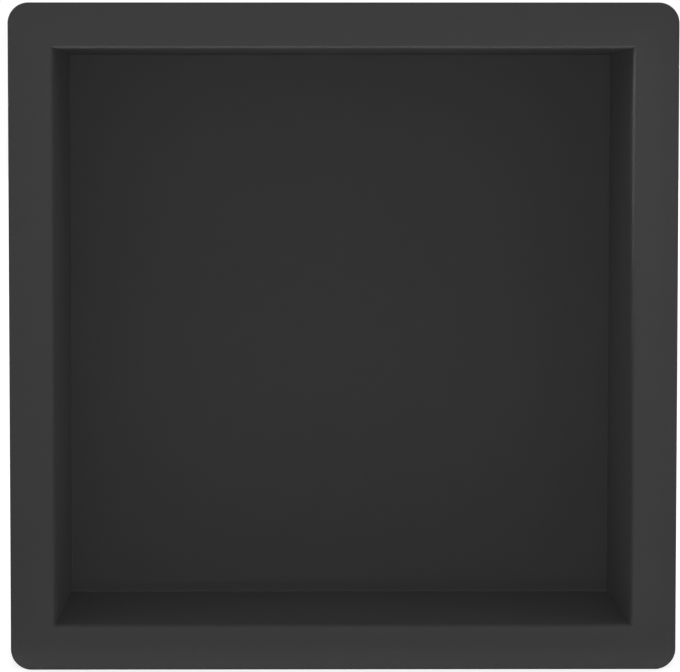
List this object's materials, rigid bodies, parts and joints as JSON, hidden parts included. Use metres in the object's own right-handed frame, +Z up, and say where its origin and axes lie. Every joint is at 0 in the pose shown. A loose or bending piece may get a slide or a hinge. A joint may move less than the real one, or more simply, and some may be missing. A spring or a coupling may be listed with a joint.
{
  "type": "shower niche insert",
  "caption": "Square recessed wall box of folded black sheet, open at the front, with a rim that laps the wall around its cut-out and a floor that holds bottles and soap.",
  "frame": {"origin": "centre of the mouth, on the plane where the back of the rim lies on the wall", "axes": "+X to the right seen from the front, +Y into the wall, +Z up"},
  "size_m": [0.3048, 0.1016, 0.3048],
  "materials": {
    "black_coat": "matte black powder coat, fine texture"
  },
  "bodies": {
    "root": {"niche_insert": "black_coat"}
  },
  "joints": []
}
